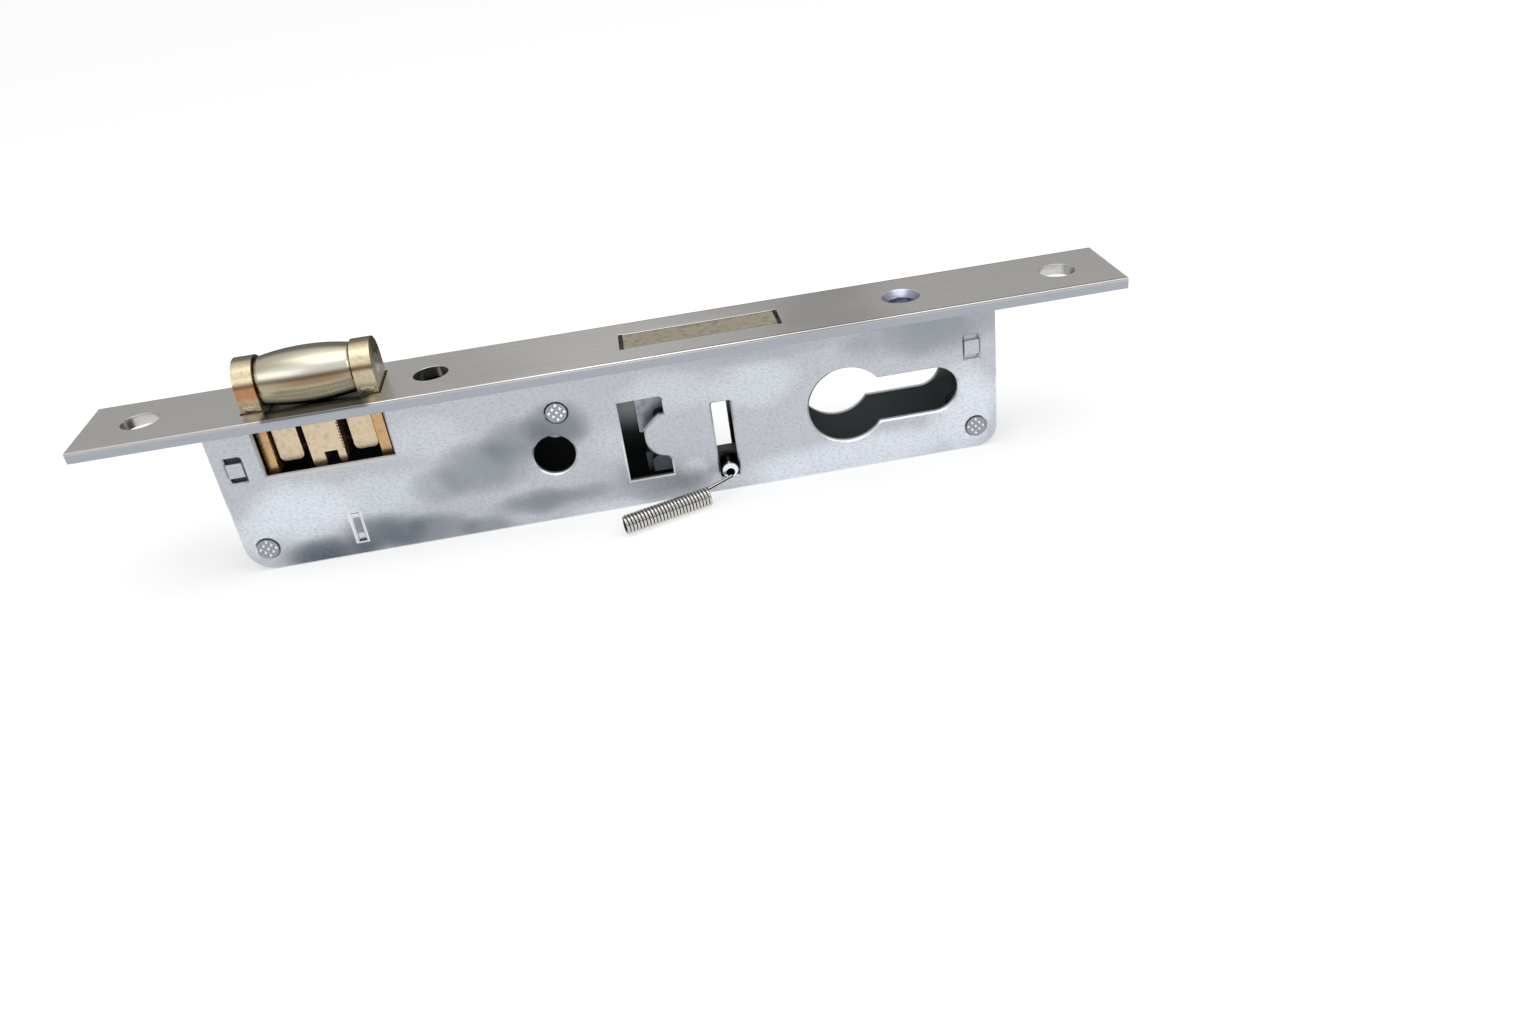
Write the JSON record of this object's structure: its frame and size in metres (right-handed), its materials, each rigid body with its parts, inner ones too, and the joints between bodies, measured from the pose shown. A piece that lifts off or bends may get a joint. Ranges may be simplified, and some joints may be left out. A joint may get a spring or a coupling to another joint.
{
  "type": "mortise lock",
  "caption": "Narrow mortise lock case with a sprung roller latch, a flush sliding deadbolt, an inner tumbler and a euro-profile cut-out through both side plates.",
  "frame": {"origin": "centre of the forend's front face, midway between its two screw holes", "axes": "+X along the lock from the roller latch to the cylinder cut-out, +Y from the cover plate to the far plate, +Z out of the forend"},
  "size_m": [0.22, 0.0316, 0.0461],
  "materials": {
    "forend_steel": "polished nickel-plated steel, brushed lengthwise",
    "zinc_plate": "bluish bright zinc plating on pressed sheet",
    "post_steel": "zinc-plated, ends staked with a waffle punch",
    "latch_brass": "lacquered brass-plated casting",
    "roller_brass": "satin turned brass",
    "axle_steel": "bright steel, ends peened",
    "bolt_brass": "mottled yellow-passivated casting",
    "tail_steel": "zinc-plated steel",
    "bright_steel": "bright nickel",
    "spring_steel": "oiled dark spring wire"
  },
  "bodies": {
    "case": {"forend": "forend_steel", "case_tray": "zinc_plate", "case_cover": "zinc_plate", "forend_bracket_left": "zinc_plate", "forend_bracket_right": "zinc_plate", "post_left": "post_steel", "post_middle": "post_steel", "post_right": "post_steel", "latch_spring_seat": "zinc_plate", "latch_spring_left": "spring_steel", "latch_spring_right": "spring_steel"},
    "latch": {"latch_fork": "latch_brass", "roller_axle": "axle_steel"},
    "roller": {"latch_roller": "roller_brass"},
    "deadbolt": {"bolt_head": "bolt_brass", "bolt_tail": "tail_steel", "bolt_rivet_left": "tail_steel", "bolt_rivet_right": "tail_steel", "guide_pin": "bright_steel", "tumbler_pin": "tail_steel", "tumbler_spring": "spring_steel"},
    "tumbler": {"tumbler": "tail_steel"},
    "hanging_spring": {"extension_spring": "bright_steel"}
  },
  "joints": [
    {"name": "latch_slide", "type": "slide", "parent": "case", "child": "latch", "axis": [0, 0, -1], "range_m": [0, 0.0095], "stiffness_N_per_m": 800, "springref_m": -0.004, "deforming": ["latch_spring_left", "latch_spring_right"]},
    {"name": "roller_spin", "type": "hinge", "parent": "latch", "child": "roller", "pos_m": [-0.06235, 0, 0.0043], "axis": [1, 0, 0], "continuous": true},
    {"name": "bolt_slide", "type": "slide", "parent": "case", "child": "deadbolt", "axis": [0, 0, 1], "range_m": [0, 0.014]},
    {"name": "tumbler_slide", "type": "slide", "parent": "deadbolt", "child": "tumbler", "axis": [-1, 0, 0], "range_m": [0, 0.0052], "stiffness_N_per_m": 300, "springref_m": -0.003, "deforming": ["tumbler_spring"]},
    {"name": "spring_swing", "type": "hinge", "parent": "deadbolt", "child": "hanging_spring", "pos_m": [0.0206, -0.0096, -0.03128], "axis": [0, 1, 0], "range_deg": [-75, 90]}
  ]
}
